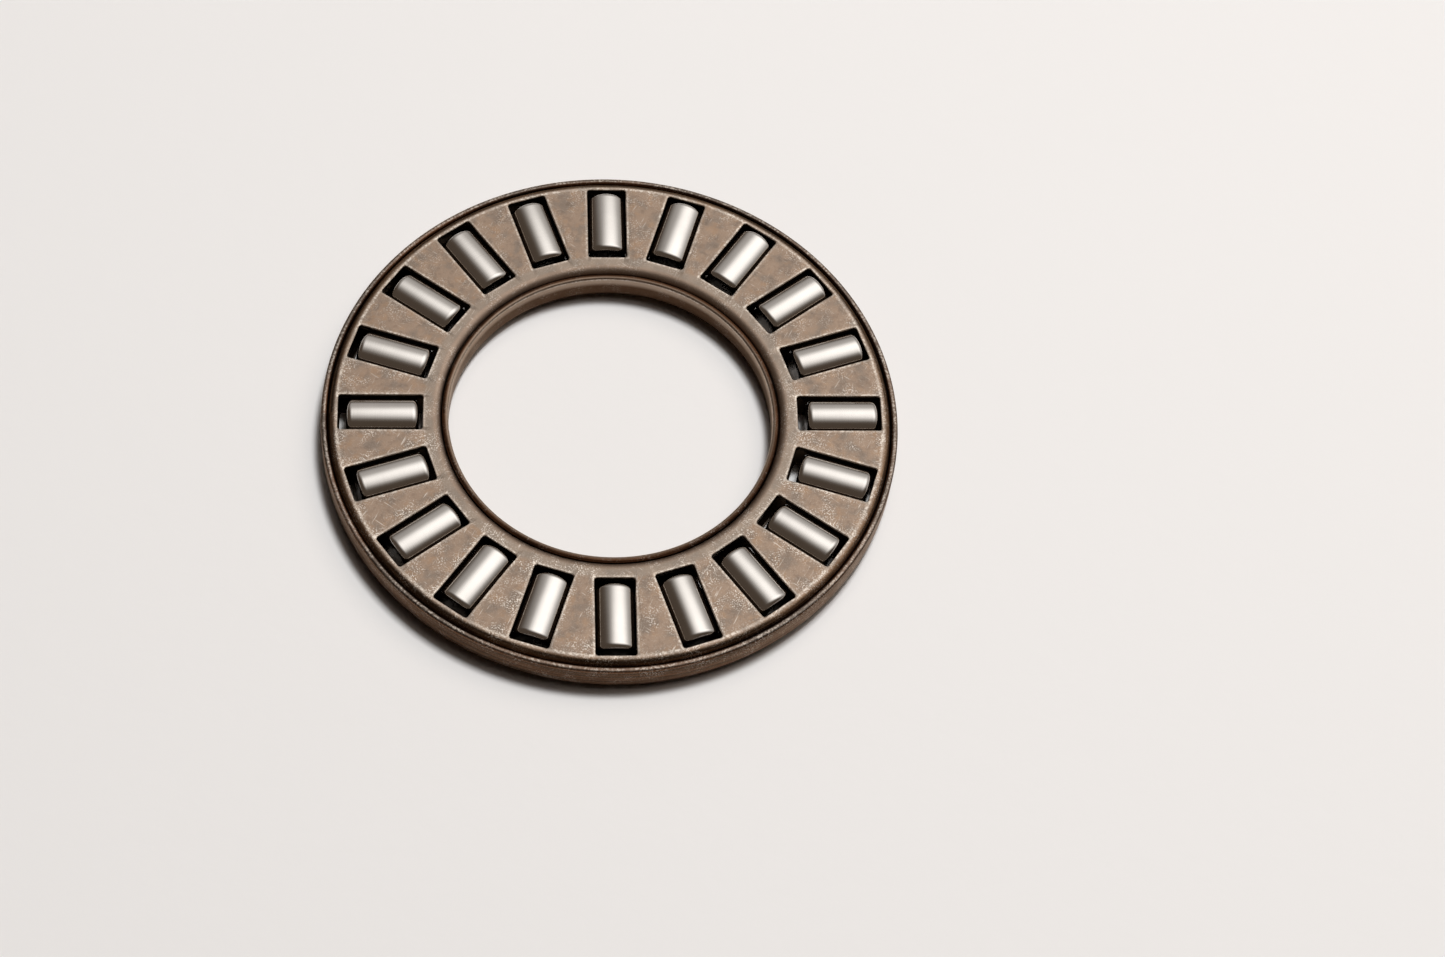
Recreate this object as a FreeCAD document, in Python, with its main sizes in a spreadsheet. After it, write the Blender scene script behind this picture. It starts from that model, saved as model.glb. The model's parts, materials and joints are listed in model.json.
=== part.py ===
"""Needle-roller thrust cage: two nested pressed-steel shells that hold twenty radial needle rollers.

Millimetres. The bearing axis is +Z and the origin lies on it, halfway up the rollers.
Roller 01 points along +X and the others follow anticlockwise, seen from above.
"""
import FreeCAD, Part
import os

import Sketcher

SIZES = {
    # the cage as a whole
    "bore_diameter": 14.288,
    "outer_diameter": 25.4,
    "cage_height": 1.60,         # over the flat faces of the two shells
    "sheet": 0.28,               # steel strip that both shells are pressed from
    "shell_gap": 0.02,           # radial play where the upper shell slips inside the lower one
    "rim_step": 0.12,            # the lower shell's wall ends this far below the upper flat face
    # the pressed bends, measured on their outsides
    "lower_bend": 0.42,
    "upper_bore_bend": 0.40,
    "upper_outer_bend": 0.34,
    "flange_corner": 0.16,       # broken corner that clears the lower shell's inside bend
    # the pockets
    "pocket_radius": 10.10,      # from the axis to the middle of a pocket
    "pocket_length": 3.70,
    "pocket_width": 1.753,       # narrower than a roller, so neither face lets it out
    "pocket_corner": 0.12,
    # the rollers
    "roller_count": 20,
    "roller_diameter": 1.984,
    "roller_length": 3.15,
    "roller_corner": 0.26,
    # where the rollers lie in the end play of their pockets
    "drift_x": 0.11,
    "drift_y": 0.04,
    "drift_out": 0.03,
}

CLOSE = 1e-6          # mm, two lengths this near to each other are the same length
VOLUME_SLACK = 1e-3   # mm3, allowed between a worked-out volume and the modelled one

doc = FreeCAD.newDocument("needle_roller_thrust_cage")


def make_sheet():
    """Put every driving dimension in a cell of its own, with its name beside it."""
    cells = doc.addObject("Spreadsheet::Sheet", "sizes")
    for row, (name, value) in enumerate(SIZES.items(), start=1):
        cells.set(f"A{row}", name)
        cells.set(f"B{row}", str(value))
        cells.setAlias(f"B{row}", name)
    doc.recompute()
    return cells


sizes = make_sheet()


def origin_plane(body, role):
    """One of the body's own base planes, such as XY_Plane."""
    return next(item for item in body.Origin.OriginFeatures if item.Role == role)


def new_sketch(body, name, role):
    """An empty sketch on one of the body's base planes."""
    sketch = body.newObject("Sketcher::SketchObject", name)
    sketch.AttachmentSupport = [(origin_plane(body, role), "")]
    sketch.MapMode = "FlatFace"
    return sketch


def add_circle(sketch, name, diameter):
    """A circle about the sketch's origin whose diameter follows an expression."""
    circle = sketch.addGeometry(Part.Circle(FreeCAD.Vector(), FreeCAD.Vector(0, 0, 1), 1.0), False)
    sketch.addConstraint(Sketcher.Constraint("Coincident", circle, 3, -1, 1))
    held = sketch.addConstraint(Sketcher.Constraint("Diameter", circle, 2.0))
    sketch.renameConstraint(held, name)
    sketch.setExpression(f"Constraints.{name}", diameter)


def edges_where(feature, test):
    """Names of the feature's edges whose curve passes the test."""
    return [f"Edge{n}" for n, edge in enumerate(feature.Shape.Edges, start=1) if test(edge)]


def is_ring(edge, radius, height):
    """True for a full circle about the bearing axis of this radius, at this height."""
    if not isinstance(edge.Curve, Part.Circle):
        return False
    middle = edge.Curve.Center
    on_axis = abs(middle.x) < CLOSE and abs(middle.y) < CLOSE
    return on_axis and abs(edge.Curve.Radius - radius) < CLOSE and abs(middle.z - height) < CLOSE


def add_fillet(body, name, base, edges, radius):
    """Round the named edges with a radius taken from the sheet."""
    fillet = body.newObject("PartDesign::Fillet", name)
    fillet.Base = (base, edges)
    fillet.Radius = sizes.get(radius)
    fillet.setExpression("Radius", f"sizes.{radius}")
    doc.recompute()
    return fillet


def add_channel(body, outer, bore, floor, depth, up, bends):
    """A ring-shaped channel of even sheet: a padded ring, its bends rounded, then hollowed out.

    outer and bore are diameters, floor is the height of the flat face, all as expressions;
    the channel runs depth from that face, upwards if up is true, and bends holds the radius
    names for the outer edge and the bore edge of the face.
    """
    ring = new_sketch(body, f"{body.Label}_ring", "XY_Plane")
    ring.setExpression(".AttachmentOffset.Base.z", floor)
    add_circle(ring, "outer", outer)
    add_circle(ring, "bore", bore)

    blank = body.newObject("PartDesign::Pad", f"{body.Label}_blank")
    blank.Profile = ring
    blank.Reversed = not up
    blank.setExpression("Length", depth)
    doc.recompute()

    face_height = ring.AttachmentOffset.Base.z
    radii = [ring.getDatum("outer").Value / 2, ring.getDatum("bore").Value / 2]
    rounded = blank
    for side, radius, bend in zip(("outer", "bore"), radii, bends):
        edges = edges_where(rounded, lambda edge: is_ring(edge, radius, face_height))
        rounded = add_fillet(body, f"{body.Label}_{side}_bend", rounded, edges, bend)

    open_height = face_height + (1 if up else -1) * blank.Length.Value
    open_face = next(f"Face{n}" for n, face in enumerate(rounded.Shape.Faces, start=1)
                     if abs(face.BoundBox.ZMin - open_height) < CLOSE
                     and abs(face.BoundBox.ZMax - open_height) < CLOSE)
    channel = body.newObject("PartDesign::Thickness", f"{body.Label}_channel")
    channel.Base = (rounded, [open_face])
    channel.Reversed = True
    channel.Value = sizes.get("sheet")
    channel.setExpression("Value", "sizes.sheet")
    doc.recompute()
    return channel


def add_pockets(body, channel, up):
    """Punch one roller pocket through the flat face and repeat it round the axis."""
    outline = new_sketch(body, f"{body.Label}_pocket_outline", "XY_Plane")
    centre = sizes.get("pocket_radius")
    x_reach = sizes.get("pocket_length") / 2
    y_reach = sizes.get("pocket_width") / 2
    corners = [FreeCAD.Vector(centre + x_reach * x, y_reach * y)
               for x, y in ((-1, -1), (1, -1), (1, 1), (-1, 1))]
    sides = [outline.addGeometry(Part.LineSegment(corners[n], corners[(n + 1) % 4]), False)
             for n in range(4)]
    for n in range(4):
        outline.addConstraint(Sketcher.Constraint("Coincident", sides[n], 2, sides[(n + 1) % 4], 1))
    for side, level in ((0, "Horizontal"), (2, "Horizontal"), (3, "Vertical")):
        outline.addConstraint(Sketcher.Constraint(level, sides[side]))
    outline.addConstraint(Sketcher.Constraint("Symmetric", sides[1], 1, sides[1], 2, -1))
    held = {
        "near_end": ("DistanceX", -1, 1, sides[3], 1, centre - x_reach),
        "far_end": ("DistanceX", -1, 1, sides[1], 1, centre + x_reach),
        "width": ("DistanceY", sides[1], 1, sides[1], 2, 2 * y_reach),
    }
    for name, words in held.items():
        outline.renameConstraint(outline.addConstraint(Sketcher.Constraint(*words)), name)
    outline.setExpression("Constraints.near_end", "sizes.pocket_radius - sizes.pocket_length / 2")
    outline.setExpression("Constraints.far_end", "sizes.pocket_radius + sizes.pocket_length / 2")
    outline.setExpression("Constraints.width", "sizes.pocket_width")

    pocket = body.newObject("PartDesign::Pocket", f"{body.Label}_pocket")
    pocket.Profile = outline
    pocket.Type = "ThroughAll"
    pocket.Reversed = up
    doc.recompute()
    wanted = sizes.get("pocket_length") * sizes.get("pocket_width") * sizes.get("sheet")
    punched = channel.Shape.Volume - pocket.Shape.Volume
    if abs(punched - wanted) > VOLUME_SLACK:
        raise SystemExit(f"{body.Label}: a pocket took {punched:.4f} mm3, not {wanted:.4f}")

    corner_edges = edges_where(pocket, is_pocket_corner)
    corner = add_fillet(body, f"{body.Label}_pocket_corners", pocket, corner_edges, "pocket_corner")

    around = body.newObject("PartDesign::PolarPattern", f"{body.Label}_pockets")
    around.Originals = [pocket, corner]
    around.Axis = (outline, ["N_Axis"])
    around.Angle = 360
    around.setExpression("Occurrences", "sizes.roller_count")
    body.Tip = around
    doc.recompute()


def is_pocket_corner(edge):
    """True for an upright straight edge as long as the sheet is thick."""
    box = edge.BoundBox
    upright = box.XLength < CLOSE and box.YLength < CLOSE
    return upright and abs(box.ZLength - sizes.get("sheet")) < CLOSE


def make_lower_shell():
    """The outer cup: floor below the rollers, wall outside and bore wall inside, open upwards."""
    body = doc.addObject("PartDesign::Body", "cage_lower_shell")
    body.Label = "cage_lower_shell"
    channel = add_channel(
        body,
        outer="sizes.outer_diameter",
        bore="sizes.bore_diameter",
        floor="-sizes.cage_height / 2",
        depth="sizes.cage_height - sizes.rim_step",
        up=True,
        bends=("lower_bend", "lower_bend"),
    )
    add_pockets(body, channel, up=False)
    return body


def make_upper_shell():
    """The inner cup, upside down: it slips inside the lower one and stands on its floor."""
    body = doc.addObject("PartDesign::Body", "cage_upper_shell")
    body.Label = "cage_upper_shell"
    channel = add_channel(
        body,
        outer="sizes.outer_diameter - 2 * (sizes.sheet + sizes.shell_gap)",
        bore="sizes.bore_diameter + 2 * (sizes.sheet + sizes.shell_gap)",
        floor="sizes.cage_height / 2",
        depth="sizes.cage_height - sizes.sheet",
        up=False,
        bends=("upper_outer_bend", "upper_bore_bend"),
    )
    foot = -sizes.get("cage_height") / 2 + sizes.get("sheet")
    wall = sizes.get("sheet") + sizes.get("shell_gap")
    radii = (sizes.get("outer_diameter") / 2 - wall, sizes.get("bore_diameter") / 2 + wall)
    feet = edges_where(channel, lambda edge: any(is_ring(edge, radius, foot) for radius in radii))
    flange = add_fillet(body, "cage_upper_shell_flange_corners", channel, feet, "flange_corner")
    add_pockets(body, flange, up=True)
    return body


def make_roller(number):
    """One needle roller: a short bar with rounded corners, lying along its pocket."""
    name = f"roller_{number:02d}"
    body = doc.addObject("PartDesign::Body", name)
    body.Label = name
    end = new_sketch(body, f"{name}_end", "YZ_Plane")
    add_circle(end, "across", "sizes.roller_diameter")

    bar = body.newObject("PartDesign::Pad", f"{name}_bar")
    bar.Profile = end
    bar.Midplane = True
    bar.setExpression("Length", "sizes.roller_length")
    doc.recompute()
    rims = edges_where(bar, lambda edge: isinstance(edge.Curve, Part.Circle))
    add_fillet(body, f"{name}_corners", bar, rims, "roller_corner")

    turn = f"(360 deg / sizes.roller_count * {number - 1})"
    drift = f"sizes.drift_x * cos({turn}) + sizes.drift_y * sin({turn}) + sizes.drift_out"
    out = f"(sizes.pocket_radius + {drift})"
    place = f"vector({out} * cos({turn}); {out} * sin({turn}); 0)"
    body.setExpression("Placement", f"placement({place}; rotation(vector(0; 0; 1); {turn}))")
    return body


def check_document():
    """Stop if any object of the document failed to build."""
    for item in doc.Objects:
        if "Invalid" in item.State or "Error" in item.State:
            raise SystemExit(f"{item.Label} did not build: {item.State}")


bodies = [make_lower_shell(), make_upper_shell()]
bodies += [make_roller(number) for number in range(1, int(sizes.get("roller_count")) + 1)]
doc.recompute()
check_document()

os.makedirs("parts", exist_ok=True)
for body in bodies:
    shape = body.Shape
    if shape.isNull() or not shape.isValid() or len(shape.Solids) != 1:
        raise SystemExit(f"{body.Label} is not one valid solid")
for body in bodies:
    body.Shape.exportStep(f"parts/{body.Label}.step")
    print(f"{body.Label}: {body.Shape.Volume:.3f} mm3")
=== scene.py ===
"""A needle-roller thrust cage lying on a pale table top. Metres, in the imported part's own frame."""
import json
import math

import bmesh
import bpy
from mathutils import Matrix, Vector


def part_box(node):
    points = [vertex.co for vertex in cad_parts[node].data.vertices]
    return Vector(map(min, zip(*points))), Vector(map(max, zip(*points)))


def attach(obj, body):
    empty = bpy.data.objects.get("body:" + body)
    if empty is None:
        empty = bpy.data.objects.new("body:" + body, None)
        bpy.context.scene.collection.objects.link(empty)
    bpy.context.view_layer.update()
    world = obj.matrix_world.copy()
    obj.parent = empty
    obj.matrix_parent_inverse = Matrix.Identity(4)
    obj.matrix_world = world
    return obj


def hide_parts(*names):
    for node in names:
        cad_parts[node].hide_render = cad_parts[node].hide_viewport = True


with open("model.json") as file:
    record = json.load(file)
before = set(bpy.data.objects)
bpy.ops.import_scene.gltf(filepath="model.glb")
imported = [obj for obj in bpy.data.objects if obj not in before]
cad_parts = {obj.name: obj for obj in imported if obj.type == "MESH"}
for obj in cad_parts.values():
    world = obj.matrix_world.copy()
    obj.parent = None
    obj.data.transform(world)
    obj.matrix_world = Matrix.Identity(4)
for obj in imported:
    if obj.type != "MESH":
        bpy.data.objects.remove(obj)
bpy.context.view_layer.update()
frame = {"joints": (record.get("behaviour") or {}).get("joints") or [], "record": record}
bpy.ops.object.select_all(action="DESELECT")
mm = 0.001


# ------------------------------------------------------------------------------------- camera
# A short telephoto lens held over the table, in front of the ring and a touch to its left,
# looking down steeply and tipped a few degrees. The ring sits left of the middle of the view.
upper_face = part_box("cage_upper_shell")[1].z
aim = Vector((4.787 * mm, -3.354 * mm, upper_face))
around = Matrix.Rotation(math.radians(-8.74), 4, "Z")
down = Matrix.Rotation(math.radians(90 - 59.60), 4, "X")
tipped = Matrix.Rotation(math.radians(7.65), 4, "Z")
back = Matrix.Translation((0, 0, 133.90 * mm))

lens = bpy.data.cameras.new("camera")
lens.sensor_width = 36
lens.lens = 76.56
lens.clip_start = 5 * mm
camera = bpy.data.objects.new("camera", lens)
camera.matrix_world = Matrix.Translation(aim) @ around @ down @ tipped @ back
bpy.context.scene.collection.objects.link(camera)
bpy.context.scene.camera = camera


# ------------------------------------------------------------------------ cage, lower shell
# The outer half of the cage: strip steel pressed into a ring-shaped channel, open upwards, with
# a wall round the outside, a wall round the bore and twenty pockets punched through its floor.
lower_low, lower_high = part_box("cage_lower_shell")
upper_low, upper_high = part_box("cage_upper_shell")
bore_mount = next(mount for mount in frame["record"]["mounts"] if mount["name"] == "bore")
bore_radius = bore_mount["dims"]["r_mm"] * mm
sheet = upper_low.z - lower_low.z
roller_count = len(frame["joints"])
pitch = math.tau / roller_count

pocket_middle = 10.10 * mm
pocket_length = 3.70 * mm
pocket_width = 1.753 * mm
pocket_corner = 0.12 * mm
pocket_lip = 0.05 * mm       # the rolled edge that the punch leaves round a pocket
rim_round = 0.12 * mm        # a wall's edge, nearly a full round after tumbling
spin_steps = 360


def pick(piece, kind, test):
    """Select only those points, edges or faces of the piece whose middle passes the test."""
    bpy.ops.mesh.select_mode(type=kind)
    bpy.ops.mesh.select_all(action="DESELECT")
    mesh = bmesh.from_edit_mesh(piece.data)
    for part in {"VERT": mesh.verts, "EDGE": mesh.edges, "FACE": mesh.faces}[kind]:
        points = [part.co] if kind == "VERT" else [point.co for point in part.verts]
        if test(sum(points, Vector()) / len(points)):
            part.select_set(True)
    bmesh.update_edit_mesh(piece.data)


def press_channel(name, outer, bore, face, rim, outer_bend, bore_bend):
    """A pressed ring: its section drawn as a line, bent at two corners, spun and given its sheet."""
    bpy.ops.mesh.primitive_plane_add(size=1, location=((outer + bore) / 2, 0, (face + rim) / 2),
                                     rotation=(math.pi / 2, 0, 0))
    shell = bpy.context.object
    shell.name = name
    shell.scale = (outer - bore, abs(face - rim), 1)
    bpy.ops.object.transform_apply(location=True, rotation=True, scale=True)

    bpy.ops.object.mode_set(mode="EDIT")
    near = 0.01 * mm
    for radius, bend in ((outer, outer_bend), (bore, bore_bend)):
        pick(shell, "VERT", lambda at: abs(at.x - radius) < near and abs(at.z - face) < near)
        bpy.ops.mesh.bevel(affect="VERTICES", offset_type="OFFSET", offset=bend, segments=12)
    pick(shell, "FACE", lambda at: True)
    bpy.ops.mesh.delete(type="ONLY_FACE")
    pick(shell, "EDGE", lambda at: abs(at.z - rim) < near)
    bpy.ops.mesh.delete(type="EDGE")
    bpy.ops.mesh.select_all(action="SELECT")
    bpy.ops.mesh.spin(steps=spin_steps, angle=math.tau, center=(0, 0, 0), axis=(0, 0, 1))
    bpy.ops.mesh.select_all(action="SELECT")
    bpy.ops.mesh.remove_doubles(threshold=0.001 * mm)
    bpy.ops.mesh.normals_make_consistent(inside=False)
    bpy.ops.object.mode_set(mode="OBJECT")
    widest = max(shell.data.polygons, key=lambda side: side.area)
    if widest.normal.z * face < 0:
        shell.data.flip_normals()

    walls = shell.modifiers.new("sheet", "SOLIDIFY")
    walls.thickness = sheet
    walls.offset = -1
    walls.use_even_offset = True
    bpy.ops.object.modifier_apply(modifier=walls.name)
    rims = shell.modifiers.new("rims", "BEVEL")
    rims.width = rim_round
    rims.segments = 6
    rims.limit_method = "ANGLE"
    rims.angle_limit = math.radians(60)
    bpy.ops.object.modifier_apply(modifier=rims.name)
    return shell


def punch_pockets(shell, face, out):
    """Cut the pockets through the shell's flat face with a punch whose shank flares at that face."""
    inner_end = face - out * 2 * sheet
    flare_start = face - out * pocket_lip
    bpy.ops.object.select_all(action="DESELECT")
    bpy.ops.mesh.primitive_cube_add(
        size=1, location=(pocket_middle, 0, (inner_end + flare_start) / 2),
        scale=(pocket_length, pocket_width, abs(flare_start - inner_end)))
    punch = bpy.context.object
    bpy.ops.object.transform_apply(location=True, rotation=True, scale=True)

    bpy.ops.object.mode_set(mode="EDIT")
    middle = (inner_end + flare_start) / 2
    pick(punch, "EDGE", lambda at: abs(at.z - middle) < 0.01 * mm)
    bpy.ops.mesh.bevel(affect="EDGES", offset_type="OFFSET", offset=pocket_corner, segments=4)
    pick(punch, "FACE", lambda at: abs(at.z - flare_start) < 0.001 * mm)
    along, across, level = pocket_length, pocket_width, flare_start
    last_turn = 80
    for turn in (20, 40, 60, last_turn):
        grown = 2 * pocket_lip * (1 - math.cos(math.radians(turn)))
        height = face - out * pocket_lip * (1 - math.sin(math.radians(turn)))
        if turn == last_turn:
            height = face + out * pocket_lip * 0.1      # a hair past the face, for a clean cut
        bpy.ops.mesh.extrude_region_move(TRANSFORM_OT_translate={"value": (0, 0, height - level)})
        wider = ((pocket_length + grown) / along, (pocket_width + grown) / across, 1)
        bpy.ops.transform.resize(value=wider, center_override=(pocket_middle, 0, height))
        along, across, level = pocket_length + grown, pocket_width + grown, height
    bpy.ops.mesh.select_all(action="SELECT")
    bpy.ops.mesh.normals_make_consistent(inside=False)
    bpy.ops.mesh.spin(steps=roller_count - 1, angle=math.tau - pitch, dupli=True,
                      center=(0, 0, 0), axis=(0, 0, 1))
    bpy.ops.object.mode_set(mode="OBJECT")

    bpy.context.view_layer.objects.active = shell
    cut = shell.modifiers.new("pockets", "BOOLEAN")
    cut.operation = "DIFFERENCE"
    cut.solver = "EXACT"
    cut.object = punch
    bpy.ops.object.modifier_apply(modifier=cut.name)
    bpy.data.objects.remove(punch)


def smooth_steel(piece, angle):
    """Shade the piece smooth up to this angle, with its large faces kept flat."""
    bpy.ops.object.select_all(action="DESELECT")
    piece.select_set(True)
    bpy.context.view_layer.objects.active = piece
    bpy.ops.object.shade_smooth_by_angle(angle=math.radians(angle))
    even = piece.modifiers.new("even", "WEIGHTED_NORMAL")
    even.keep_sharp = True
    bpy.ops.object.modifier_apply(modifier=even.name)


def math_node(nodes, links, kind, *values):
    """A Math node with these inputs, each a number or another node's socket; gives its output."""
    node = nodes.new("ShaderNodeMath")
    node.operation = kind
    for socket, value in zip(node.inputs, values):
        if isinstance(value, bpy.types.NodeSocket):
            links.new(value, socket)
        else:
            socket.default_value = value
    return node.outputs[0]


def place_in_cage():
    """Node group: where a point of the ring lies, in millimetres, from its Object coordinates."""
    group = bpy.data.node_groups.new("place_in_cage", "ShaderNodeTree")
    group.interface.new_socket("Vector", in_out="INPUT", socket_type="NodeSocketVector")
    for name in ("Radius", "Around", "Height", "Pocket Gap",
                 "Along Pocket", "Across Pocket", "Pocket Number"):
        group.interface.new_socket(name, in_out="OUTPUT", socket_type="NodeSocketFloat")
    nodes, links = group.nodes, group.links
    given = nodes.new("NodeGroupInput")
    result = nodes.new("NodeGroupOutput")
    scaled = nodes.new("ShaderNodeVectorMath")
    scaled.operation = "SCALE"
    scaled.inputs["Scale"].default_value = 1 / mm
    links.new(given.outputs["Vector"], scaled.inputs[0])
    split = nodes.new("ShaderNodeSeparateXYZ")
    links.new(scaled.outputs[0], split.inputs[0])
    x, y, z = split.outputs

    def calc(kind, *values):
        return math_node(nodes, links, kind, *values)

    radius = calc("SQRT", calc("ADD", calc("MULTIPLY", x, x), calc("MULTIPLY", y, y)))
    angle = calc("ARCTAN2", y, x)
    number = calc("ROUND", calc("DIVIDE", angle, pitch))
    local = calc("SUBTRACT", angle, calc("MULTIPLY", number, pitch))
    along = calc("SUBTRACT", calc("MULTIPLY", radius, calc("COSINE", local)), pocket_middle / mm)
    across = calc("MULTIPLY", radius, calc("SINE", local))
    over_end = calc("SUBTRACT", calc("ABSOLUTE", along), pocket_length / 2 / mm)
    over_side = calc("SUBTRACT", calc("ABSOLUTE", across), pocket_width / 2 / mm)
    past_end = calc("MAXIMUM", over_end, 0.0)
    past_side = calc("MAXIMUM", over_side, 0.0)
    past_corner = calc("ADD", calc("MULTIPLY", past_end, past_end), calc("MULTIPLY", past_side, past_side))
    outside = calc("SQRT", past_corner)
    inside = calc("MINIMUM", calc("MAXIMUM", over_end, over_side), 0.0)

    links.new(radius, result.inputs["Radius"])
    links.new(calc("MULTIPLY", angle, pocket_middle / mm), result.inputs["Around"])
    links.new(z, result.inputs["Height"])
    links.new(calc("ADD", outside, inside), result.inputs["Pocket Gap"])
    links.new(along, result.inputs["Along Pocket"])
    links.new(across, result.inputs["Across Pocket"])
    links.new(number, result.inputs["Pocket Number"])
    return group


def scratch_marks():
    """Node group: fine straight scratches that run one way, 0 to 1, broken up over their length."""
    group = bpy.data.node_groups.new("scratch_marks", "ShaderNodeTree")
    group.interface.new_socket("Vector", in_out="INPUT", socket_type="NodeSocketVector")
    group.interface.new_socket("Turn", in_out="INPUT", socket_type="NodeSocketFloat")
    group.interface.new_socket("Fineness", in_out="INPUT", socket_type="NodeSocketFloat")
    group.interface.new_socket("Amount", in_out="INPUT", socket_type="NodeSocketFloat")
    group.interface.new_socket("Marks", in_out="OUTPUT", socket_type="NodeSocketFloat")
    nodes, links = group.nodes, group.links
    given = nodes.new("NodeGroupInput")
    result = nodes.new("NodeGroupOutput")
    turned = nodes.new("ShaderNodeVectorRotate")
    turned.rotation_type = "Z_AXIS"
    links.new(given.outputs["Vector"], turned.inputs["Vector"])
    links.new(given.outputs["Turn"], turned.inputs["Angle"])
    drawn = nodes.new("ShaderNodeVectorMath")
    drawn.operation = "MULTIPLY"
    links.new(turned.outputs[0], drawn.inputs[0])
    drawn.inputs[1].default_value = (1.0, 0.10, 1.0)
    lines = nodes.new("ShaderNodeTexNoise")
    lines.inputs["Detail"].default_value = 2.0
    links.new(drawn.outputs[0], lines.inputs["Vector"])
    links.new(given.outputs["Fineness"], lines.inputs["Scale"])
    kept = nodes.new("ShaderNodeMapRange")
    links.new(lines.outputs["Fac"], kept.inputs["Value"])
    more = math_node(nodes, links, "MULTIPLY", given.outputs["Amount"], 0.16)
    links.new(math_node(nodes, links, "SUBTRACT", 0.74, more), kept.inputs["From Min"])
    kept.inputs["From Max"].default_value = 0.80
    links.new(kept.outputs[0], result.inputs["Marks"])
    return group


place_group = place_in_cage()
scratch_group = scratch_marks()


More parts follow.
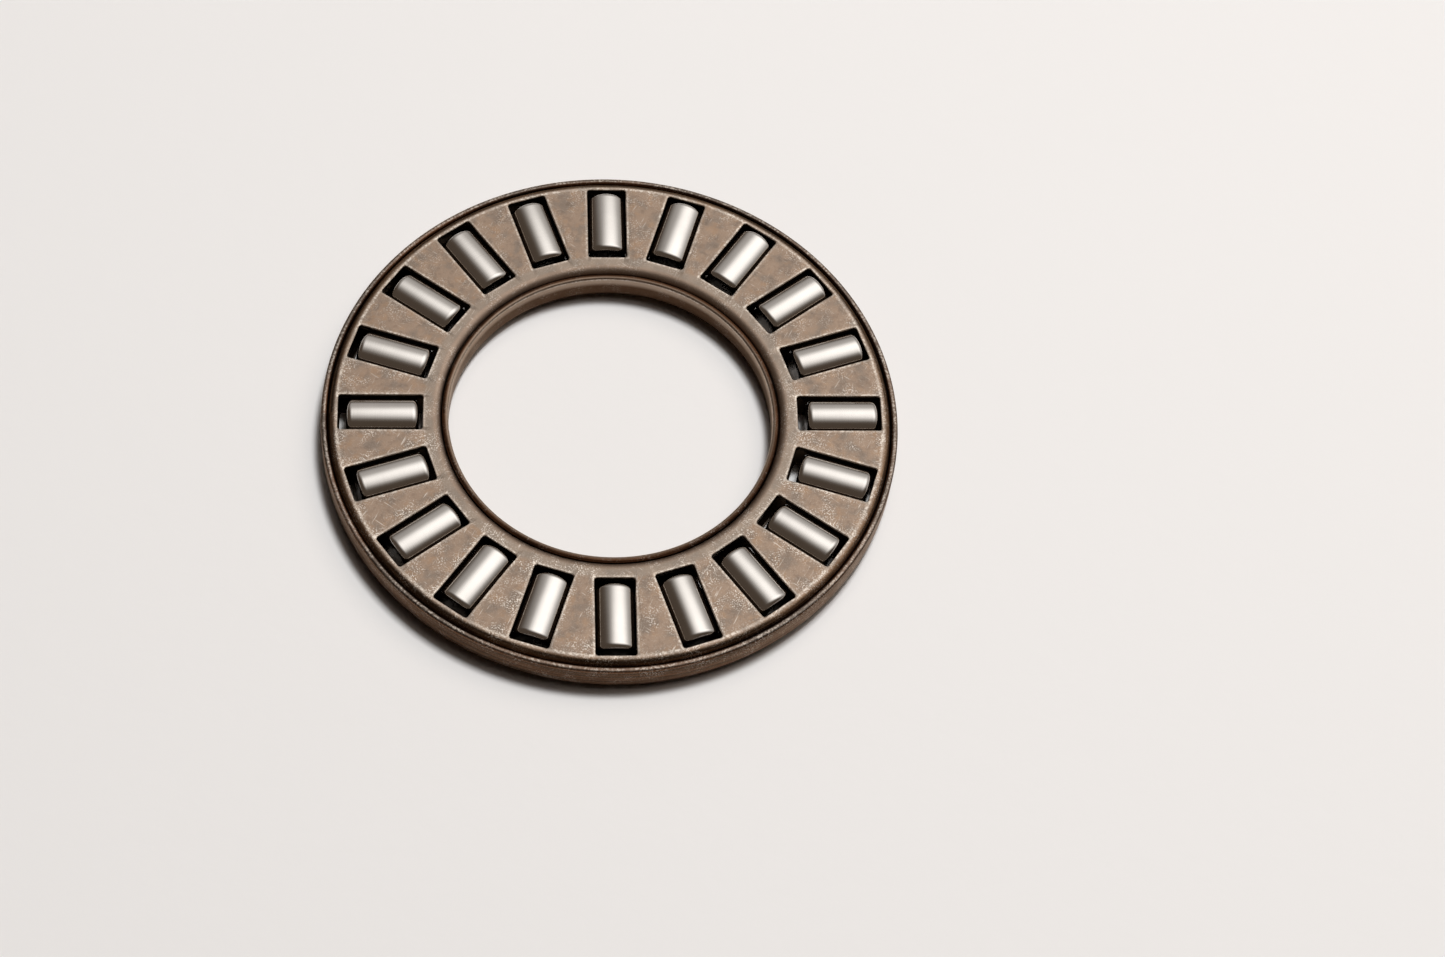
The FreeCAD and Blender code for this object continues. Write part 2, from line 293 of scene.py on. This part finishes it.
def cage_steel(name, wall_colour, flat_colour):
    """Oxidised strip steel: warm satin brown with soft clouds, pits, bright specks and worn edges."""
    material = bpy.data.materials.new(name)
    material.use_nodes = True
    nodes, links = material.node_tree.nodes, material.node_tree.links
    shader = nodes["Principled BSDF"]
    shader.inputs["Metallic"].default_value = 1.0
    shader.inputs["Specular Tint"].default_value = (0.95, 0.84, 0.74, 1.0)

    def calc(kind, *values):
        return math_node(nodes, links, kind, *values)

    def ramp(value, low, high, to_low=0.0, to_high=1.0):
        node = nodes.new("ShaderNodeMapRange")
        node.interpolation_type = "SMOOTHSTEP"
        links.new(value, node.inputs["Value"])
        node.inputs["From Min"].default_value = low
        node.inputs["From Max"].default_value = high
        node.inputs["To Min"].default_value = to_low
        node.inputs["To Max"].default_value = to_high
        return node.outputs[0]

    def noise(scale, detail=2.0):
        node = nodes.new("ShaderNodeTexNoise")
        node.inputs["Scale"].default_value = scale
        node.inputs["Detail"].default_value = detail
        links.new(where.outputs["Object"], node.inputs["Vector"])
        return node.outputs["Fac"]

    def blend(share, under, over):
        node = nodes.new("ShaderNodeMix")
        node.data_type = "RGBA"
        links.new(share, node.inputs["Factor"])
        for socket, value in ((node.inputs[6], under), (node.inputs[7], over)):
            if isinstance(value, bpy.types.NodeSocket):
                links.new(value, socket)
            else:
                socket.default_value = (*value, 1.0)
        return node.outputs[2]

    def rolling_lines(around, up):
        spot = nodes.new("ShaderNodeCombineXYZ")
        links.new(calc("MULTIPLY", place.outputs["Around"], around), spot.inputs[0])
        links.new(calc("MULTIPLY", height, up), spot.inputs[1])
        links.new(radius, spot.inputs[2])
        node = nodes.new("ShaderNodeTexNoise")
        node.inputs["Scale"].default_value = 1.0
        node.inputs["Detail"].default_value = 3.0
        links.new(spot.outputs[0], node.inputs["Vector"])
        return node.outputs["Fac"]

    def scratches(turn, amount):
        node = nodes.new("ShaderNodeGroup")
        node.node_tree = scratch_group
        links.new(where.outputs["Object"], node.inputs["Vector"])
        node.inputs["Turn"].default_value = turn
        node.inputs["Fineness"].default_value = 13000
        node.inputs["Amount"].default_value = amount
        return node.outputs["Marks"]

    where = nodes.new("ShaderNodeTexCoord")
    place = nodes.new("ShaderNodeGroup")
    place.node_tree = place_group
    links.new(where.outputs["Object"], place.inputs[0])
    radius, gap = place.outputs["Radius"], place.outputs["Pocket Gap"]
    height = place.outputs["Height"]
    from_middle = calc("ABSOLUTE", height)
    sides = nodes.new("ShaderNodeSeparateXYZ")
    links.new(where.outputs["Object"], sides.inputs[0])

    # where the finish changes, in millimetres and to the nearest hundredth
    outside = round(lower_high.x / mm, 2)
    bore = round(bore_radius / mm, 2)
    face = round(upper_high.z / mm, 2)
    rim = round(lower_high.z / mm, 2)
    flat_edge = outside - 0.69       # where the flat starts to roll down to the outer groove
    shoulder = bore + 0.60           # the soft bend round the bore

    # the flats, clouded in grey and rust, a greyer band by the bore, and the softly rubbed shoulder
    clouds = noise(1300, 3.0)
    rust = noise(2100, 3.0)
    mottle = noise(4200, 3.0)
    flat = blend(ramp(clouds, 0.45, 0.66, 0.0, 0.7), flat_colour, (0.28, 0.235, 0.20))
    flat = blend(ramp(rust, 0.52, 0.72, 0.0, 0.45), flat, (0.41, 0.265, 0.165))
    flat = blend(ramp(mottle, 0.48, 0.34, 0.0, 0.30), flat, (0.20, 0.145, 0.11))
    flat = blend(ramp(radius, shoulder + 0.60, shoulder + 0.40, 0.0, 0.65), flat, (0.345, 0.295, 0.25))
    soft_bend = ramp(radius, shoulder + 0.18, shoulder)
    soft_bend = calc("MULTIPLY", soft_bend, ramp(radius, bore + 0.30, bore + 0.38))
    flat = blend(soft_bend, flat, (0.335, 0.255, 0.20))

    # the walls, which kept more of their dark oxide, with lines left by rolling, painted shade in the
    # bore and in a line under the outer rim, and a painted reflection as a pale band inside the bore
    at_outside = ramp(radius, flat_edge + 0.04, flat_edge + 0.21)
    at_bore = ramp(radius, bore + 0.36, bore + 0.28)
    wall = calc("MAXIMUM", at_outside, at_bore)
    line_light = tuple(1.3 * channel for channel in wall_colour)
    line_dark = tuple(0.45 * channel for channel in wall_colour)
    walls = blend(ramp(rolling_lines(around=0.22, up=11), 0.42, 0.58), line_light, line_dark)
    # painted shade: the bore wall is coloured darker than the outer wall
    bore_painted_shade = tuple(0.65 * channel for channel in wall_colour)
    walls = blend(ramp(radius, bore + 0.26, bore + 0.06), walls, bore_painted_shade)
    # painted shade: a dark line on the outer wall just under the rim
    under_rim_painted_shade = calc("MULTIPLY", ramp(height, rim - 0.12, rim - 0.18), ramp(height, rim - 0.32, rim - 0.26))
    under_rim_painted_shade = calc("MULTIPLY", under_rim_painted_shade, ramp(radius, outside - 0.12, outside - 0.06, 0.0, 0.75))
    walls = blend(under_rim_painted_shade, walls, tuple(0.35 * channel for channel in wall_colour))
    # painted reflection: a paler band high on the bore wall, over the painted shade
    bore_painted_reflection = calc("MULTIPLY", ramp(height, rim - 0.60, rim - 0.25), ramp(radius, bore + 0.17, bore + 0.05))
    walls = blend(bore_painted_reflection, walls, tuple(0.80 * channel for channel in flat_colour))
    colour = blend(wall, flat, walls)

    # bright specks in drifts, thicker where the face has rubbed, and short fine scratches
    rubbed_side = ramp(sides.outputs[1], 8 * mm, -6 * mm, 0.45, 1.0)
    by_pocket = ramp(gap, 0.45, 0.10)
    by_edge = ramp(radius, flat_edge - 0.51, flat_edge - 0.06)
    thick = calc("MULTIPLY", calc("MAXIMUM", by_pocket, by_edge), 0.35)
    drifts = calc("ADD", ramp(noise(1100, 3.0), 0.46, 0.66), thick)
    drifts = calc("MULTIPLY", calc("MAXIMUM", drifts, 0.10), rubbed_side)
    sparks = calc("MULTIPLY", ramp(noise(16000, 3.0), 0.52, 0.63), drifts)
    both_ways = calc("MAXIMUM", scratches(0.5, 0.5), scratches(2.2, 0.4))
    marks = calc("MULTIPLY", both_ways, rubbed_side)
    bare = calc("MULTIPLY", calc("MAXIMUM", sparks, marks), ramp(wall, 0.0, 1.0, 0.9, 0.25))
    colour = blend(bare, colour, (0.86, 0.80, 0.73))

    # bare steel along the edges
    patches = ramp(noise(1600, 2.0), 0.38, 0.60, 0.3, 1.0)
    broken = calc("MULTIPLY", ramp(noise(9000, 2.0), 0.42, 0.60), patches)
    at_face = ramp(from_middle, face - 0.045, face - 0.015)
    pocket_edge = calc("MULTIPLY", ramp(gap, 0.16, 0.05), at_face)
    along_flat = calc("MULTIPLY", ramp(radius, flat_edge - 0.08, flat_edge - 0.01),
                      ramp(radius, flat_edge + 0.11, flat_edge + 0.03))
    along_flat = calc("MULTIPLY", along_flat, at_face)
    outer_rim = calc("MULTIPLY", ramp(height, rim - 0.06, rim - 0.01, 0.0, 0.6),
                     ramp(radius, outside - 0.22, outside - 0.16))
    bore_rim = calc("MULTIPLY", ramp(height, rim - 0.20, rim - 0.08, 0.0, 0.5),
                    ramp(radius, bore + 0.08, bore + 0.02))
    edges = calc("MAXIMUM", calc("MAXIMUM", pocket_edge, along_flat), calc("MAXIMUM", outer_rim, bore_rim))
    worn = calc("MULTIPLY", edges, ramp(broken, 0.0, 1.0, 0.22, 0.85))
    colour = blend(worn, colour, (0.74, 0.68, 0.61))

    # the pockets' sides and the hollow inside of the ring, painted near-black as shade
    pocket_side_painted_shade = calc("MULTIPLY", ramp(gap, 0.045, 0.02), ramp(from_middle, face - 0.01, face - 0.06))
    hollow_painted_shade = ramp(from_middle, face - 0.20, face - 0.26)
    hollow_painted_shade = calc("MULTIPLY", hollow_painted_shade, ramp(radius, bore + 0.31, bore + 0.36))
    hollow_painted_shade = calc("MULTIPLY", hollow_painted_shade, ramp(radius, outside - 0.30, outside - 0.35))
    colour = blend(calc("MAXIMUM", pocket_side_painted_shade, hollow_painted_shade), colour, (0.022, 0.014, 0.009))
    links.new(colour, shader.inputs["Base Color"])

    unevenness = calc("MULTIPLY", calc("SUBTRACT", clouds, 0.5), 0.25)
    rough = calc("ADD", ramp(wall, 0.0, 1.0, 0.47, 0.38), unevenness)
    rough = calc("SUBTRACT", rough, calc("MULTIPLY", worn, 0.12))
    links.new(rough, shader.inputs["Roughness"])
    relief = calc("ADD", calc("MULTIPLY", mottle, 0.6), calc("MULTIPLY", sparks, 0.25))
    relief = calc("SUBTRACT", relief, calc("MULTIPLY", marks, 0.3))
    bump = nodes.new("ShaderNodeBump")
    bump.inputs["Strength"].default_value = 0.4
    bump.inputs["Distance"].default_value = 0.02 * mm
    links.new(relief, bump.inputs["Height"])
    links.new(bump.outputs[0], shader.inputs["Normal"])
    return material


lower_shell = press_channel("cage_lower", outer=lower_high.x, bore=bore_radius, face=lower_low.z,
                            rim=lower_high.z, outer_bend=0.42 * mm, bore_bend=0.42 * mm)
punch_pockets(lower_shell, lower_low.z, -1)
smooth_steel(lower_shell, 35)
lower_shell.data.materials.clear()
flat_brown = (0.362, 0.272, 0.209)
lower_shell.data.materials.append(cage_steel("lower_shell_steel", (0.090, 0.043, 0.022), flat_brown))
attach(lower_shell, "cage")
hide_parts("cage_lower_shell")


# ------------------------------------------------------------------------ cage, upper shell
# The inner half: the same strip pressed the other way up, slipped between the lower shell's
# walls. Its bore side rolls over in a wide soft bend, its outer side in a tighter one.
gap_between = 0.02 * mm
upper_bore = bore_radius + sheet + gap_between
upper_shell = press_channel("cage_upper", outer=upper_high.x, bore=upper_bore, face=upper_high.z,
                            rim=upper_low.z, outer_bend=0.34 * mm, bore_bend=0.40 * mm)
punch_pockets(upper_shell, upper_high.z, 1)
smooth_steel(upper_shell, 35)
upper_shell.data.materials.clear()
upper_shell.data.materials.append(cage_steel("upper_shell_steel", (0.145, 0.088, 0.052), flat_brown))
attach(upper_shell, "cage")
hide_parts("cage_upper_shell")


# ---------------------------------------------------------------------------------- rollers
# Twenty needle rollers of hardened bearing steel, ground and lapped bright, with rounded
# corners and barely dished ends. They lie loose in the pockets and are held by the pocket sides.
roller_low, roller_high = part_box("roller_01")
roller_radius = roller_high.z
roller_length = roller_high.x - roller_low.x
roller_corner = 0.26 * mm
bpy.ops.object.select_all(action="DESELECT")
bpy.ops.mesh.primitive_cylinder_add(vertices=96, radius=roller_radius, depth=roller_length,
                                    rotation=(0, math.pi / 2, 0))
first_roller = bpy.context.object
bpy.ops.object.transform_apply(location=True, rotation=True, scale=True)
bpy.ops.object.mode_set(mode="EDIT")
end = roller_length / 2
pick(first_roller, "EDGE", lambda at: abs(abs(at.x) - end) < 0.01 * mm)
bpy.ops.mesh.bevel(affect="EDGES", offset_type="OFFSET", offset=roller_corner, segments=10)
pick(first_roller, "FACE", lambda at: abs(abs(at.x) - end) < 0.001 * mm)
bpy.ops.mesh.inset(thickness=0.24 * mm, depth=-0.012 * mm, use_individual=True)
bpy.ops.mesh.inset(thickness=0.18 * mm, depth=-0.006 * mm, use_individual=True)
bpy.ops.object.mode_set(mode="OBJECT")
smooth_steel(first_roller, 40)


def roller_steel(name):
    """Bright ground steel with faint rings left by the wheel, lengthwise rub marks and a warm haze."""
    material = bpy.data.materials.new(name)
    material.use_nodes = True
    nodes, links = material.node_tree.nodes, material.node_tree.links
    shader = nodes["Principled BSDF"]
    shader.inputs["Metallic"].default_value = 1.0
    where = nodes.new("ShaderNodeTexCoord")
    place = nodes.new("ShaderNodeGroup")
    place.node_tree = place_group
    links.new(where.outputs["Object"], place.inputs[0])

    def calc(kind, *values):
        return math_node(nodes, links, kind, *values)

    turn = calc("ARCTAN2", place.outputs["Across Pocket"], place.outputs["Height"])
    own = calc("MULTIPLY", place.outputs["Pocket Number"], 7.3)

    def lines(along, around, detail):
        spot = nodes.new("ShaderNodeCombineXYZ")
        links.new(calc("MULTIPLY", place.outputs["Along Pocket"], along), spot.inputs[0])
        links.new(calc("MULTIPLY", turn, around), spot.inputs[1])
        links.new(own, spot.inputs[2])
        node = nodes.new("ShaderNodeTexNoise")
        node.inputs["Scale"].default_value = 1.0
        node.inputs["Detail"].default_value = detail
        links.new(spot.outputs[0], node.inputs["Vector"])
        return node.outputs["Fac"]

    rings = lines(14, 0.8, 3.0)
    rubs = lines(0.5, 12, 2.0)
    haze = lines(1.2, 1.2, 2.0)
    tint = nodes.new("ShaderNodeMix")
    tint.data_type = "RGBA"
    links.new(haze, tint.inputs["Factor"])
    tint.inputs[6].default_value = (0.66, 0.645, 0.625, 1.0)
    tint.inputs[7].default_value = (0.58, 0.565, 0.55, 1.0)
    outward = nodes.new("ShaderNodeVectorMath")
    outward.operation = "NORMALIZE"
    links.new(where.outputs["Object"], outward.inputs[0])
    along_axis = nodes.new("ShaderNodeVectorMath")
    along_axis.operation = "DOT_PRODUCT"
    links.new(outward.outputs[0], along_axis.inputs[0])
    links.new(where.outputs["Normal"], along_axis.inputs[1])
    end_face = nodes.new("ShaderNodeMapRange")
    end_face.interpolation_type = "SMOOTHSTEP"
    end_face.inputs["From Min"].default_value = 0.80
    end_face.inputs["From Max"].default_value = 0.96
    links.new(calc("ABSOLUTE", along_axis.outputs["Value"]), end_face.inputs["Value"])
    # painted shade: the roller ends are coloured dark, as if in the shade of their pockets; they are also
    # made rougher below
    ends_painted_shade = nodes.new("ShaderNodeMix")
    ends_painted_shade.data_type = "RGBA"
    links.new(end_face.outputs[0], ends_painted_shade.inputs["Factor"])
    links.new(tint.outputs[2], ends_painted_shade.inputs[6])
    ends_painted_shade.inputs[7].default_value = (0.21, 0.18, 0.155, 1.0)
    links.new(ends_painted_shade.outputs[2], shader.inputs["Base Color"])
    rough = calc("ADD", 0.06, calc("MULTIPLY", rings, 0.08))
    rough = calc("ADD", rough, calc("MULTIPLY", rubs, 0.05))
    rough = calc("ADD", rough, calc("MULTIPLY", end_face.outputs[0], 0.16))
    links.new(rough, shader.inputs["Roughness"])
    bump = nodes.new("ShaderNodeBump")
    bump.inputs["Strength"].default_value = 0.2
    bump.inputs["Distance"].default_value = 0.01 * mm
    links.new(calc("ADD", calc("MULTIPLY", rings, 0.6), calc("MULTIPLY", rubs, 0.4)), bump.inputs["Height"])
    links.new(bump.outputs[0], shader.inputs["Normal"])
    return material


first_roller.data.materials.clear()
first_roller.data.materials.append(roller_steel("bright_roller_steel"))
for joint in frame["joints"]:
    node = joint["child"]
    roller = bpy.data.objects.new(node.replace("roller_", "needle_roller_"), first_roller.data.copy())
    bpy.context.scene.collection.objects.link(roller)
    heading = math.atan2(joint["axis"][1], joint["axis"][0])
    roller.data.transform(Matrix.Translation(joint["pos_m"]) @ Matrix.Rotation(heading, 4, "Z"))
    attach(roller, node)
    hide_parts(node)
bpy.data.objects.remove(first_roller)


# ------------------------------------------------------------------------------------ table
# A smooth white table top with the finest of textures. The ring stands on its rollers.
bpy.ops.object.select_all(action="DESELECT")
bpy.ops.mesh.primitive_plane_add(size=3.0, location=(0, 0, -roller_radius))
table = bpy.context.object
table.name = "table_top"
bpy.ops.object.transform_apply(location=True, rotation=True, scale=True)
finish = bpy.data.materials.new("table_finish")
finish.use_nodes = True
nodes, links = finish.node_tree.nodes, finish.node_tree.links
shader = nodes["Principled BSDF"]
shader.inputs["Base Color"].default_value = (0.85, 0.83, 0.82, 1.0)
shader.inputs["Roughness"].default_value = 0.75
where = nodes.new("ShaderNodeTexCoord")
grain = nodes.new("ShaderNodeTexNoise")
grain.inputs["Scale"].default_value = 900
grain.inputs["Detail"].default_value = 3.0
links.new(where.outputs["Object"], grain.inputs["Vector"])
bump = nodes.new("ShaderNodeBump")
bump.inputs["Strength"].default_value = 0.25
bump.inputs["Distance"].default_value = 0.06 * mm
links.new(grain.outputs["Fac"], bump.inputs["Height"])
links.new(bump.outputs[0], shader.inputs["Normal"])
table.data.materials.append(finish)


# ------------------------------------------------------------------------------------ light
# Two soft windows of light hang behind the ring and to its right, and the rest of the room is dim.
# Two panels that polished steel doesn't mirror light the table: a small high one, whose shadows are
# crisp, and a wide warm one that fills them.
world = bpy.data.worlds.new("room")
bpy.context.scene.world = world
world.use_nodes = True
nodes, links = world.node_tree.nodes, world.node_tree.links
world.cycles_visibility.diffuse = False
background = nodes["Background"]
where = nodes.new("ShaderNodeTexCoord")

# the sky dome laid flat, with the zenith in the middle and the horizon on a circle of radius 1
dome = nodes.new("ShaderNodeSeparateXYZ")
links.new(where.outputs["Generated"], dome.inputs[0])
beyond = math_node(nodes, links, "MAXIMUM", math_node(nodes, links, "ADD", dome.outputs[2], 1.0), 0.2)
chart = nodes.new("ShaderNodeCombineXYZ")
links.new(math_node(nodes, links, "DIVIDE", dome.outputs[0], beyond), chart.inputs[0])
links.new(math_node(nodes, links, "DIVIDE", dome.outputs[1], beyond), chart.inputs[1])


def on_chart(angle):
    """How far from the middle of the flat chart a direction lies that is this many degrees off zenith."""
    return math.tan(math.radians(angle) / 2)


def soft_window(azimuth, elevation, half_width, half_height, turn, edge, strength):
    """Brightness of an oval patch of the dome, which fades out faster the higher its edge value.

    Angles are in degrees, and the azimuth runs clockwise from +Y.
    """
    away, heading = on_chart(90 - elevation), math.radians(azimuth)
    oval = nodes.new("ShaderNodeMapping")
    oval.vector_type = "TEXTURE"
    oval.inputs["Location"].default_value = (away * math.sin(heading), away * math.cos(heading), 0)
    oval.inputs["Rotation"].default_value = (0, 0, math.radians(turn))
    oval.inputs["Scale"].default_value = (on_chart(half_width), on_chart(half_height), 1)
    links.new(chart.outputs[0], oval.inputs["Vector"])
    reach = nodes.new("ShaderNodeVectorMath")
    reach.operation = "LENGTH"
    links.new(oval.outputs[0], reach.inputs[0])
    fall = math_node(nodes, links, "POWER", reach.outputs["Value"], edge)
    share = math_node(nodes, links, "EXPONENT", math_node(nodes, links, "MULTIPLY", fall, -1.0))
    return math_node(nodes, links, "MULTIPLY", share, strength)


high_window = soft_window(57.5, 63.4, 32, 39.7, 99.5, 3.4, 1.20)
back_window = soft_window(38.2, 40.0, 44.5, 70.7, 69.2, 4.8, 0.49)
windows = math_node(nodes, links, "ADD", high_window, back_window)
tinted = nodes.new("ShaderNodeVectorMath")
tinted.operation = "SCALE"
tinted.inputs[0].default_value = (1.03, 1.0, 0.965)
links.new(windows, tinted.inputs["Scale"])
dim_room = nodes.new("ShaderNodeVectorMath")
dim_room.operation = "ADD"
links.new(tinted.outputs[0], dim_room.inputs[0])
dim_room.inputs[1].default_value = (0.092, 0.068, 0.050)
path = nodes.new("ShaderNodeLightPath")
seen = nodes.new("ShaderNodeMix")
seen.data_type = "RGBA"
links.new(path.outputs["Is Camera Ray"], seen.inputs["Factor"])
links.new(dim_room.outputs[0], seen.inputs[6])
seen.inputs[7].default_value = (0.84, 0.81, 0.78, 1.0)
links.new(seen.outputs[2], background.inputs["Color"])


def table_panel(name, azimuth, elevation, size, energy, colour):
    """A square panel 40 cm away that lights the table only; degrees, azimuth clockwise from +Y."""
    heading, height = math.radians(azimuth), math.radians(elevation)
    level = math.cos(height)
    way = Vector((math.sin(heading) * level, math.cos(heading) * level, math.sin(height)))
    data = bpy.data.lights.new(name, "AREA")
    data.shape = "SQUARE"
    data.size = size
    data.energy = energy
    data.color = colour
    panel = bpy.data.objects.new(name, data)
    panel.location = way * 0.40
    panel.rotation_mode = "QUATERNION"
    panel.rotation_quaternion = way.to_track_quat("Z", "Y")
    panel.visible_glossy = False
    bpy.context.scene.collection.objects.link(panel)


table_panel("high_panel", azimuth=43, elevation=75.5, size=0.08, energy=1.23,
            colour=(0.96, 0.985, 1.0))
table_panel("wide_panel", azimuth=50, elevation=67, size=0.34, energy=0.59,
            colour=(1.0, 0.87, 0.76))
bpy.context.scene.view_settings.view_transform = "Standard"
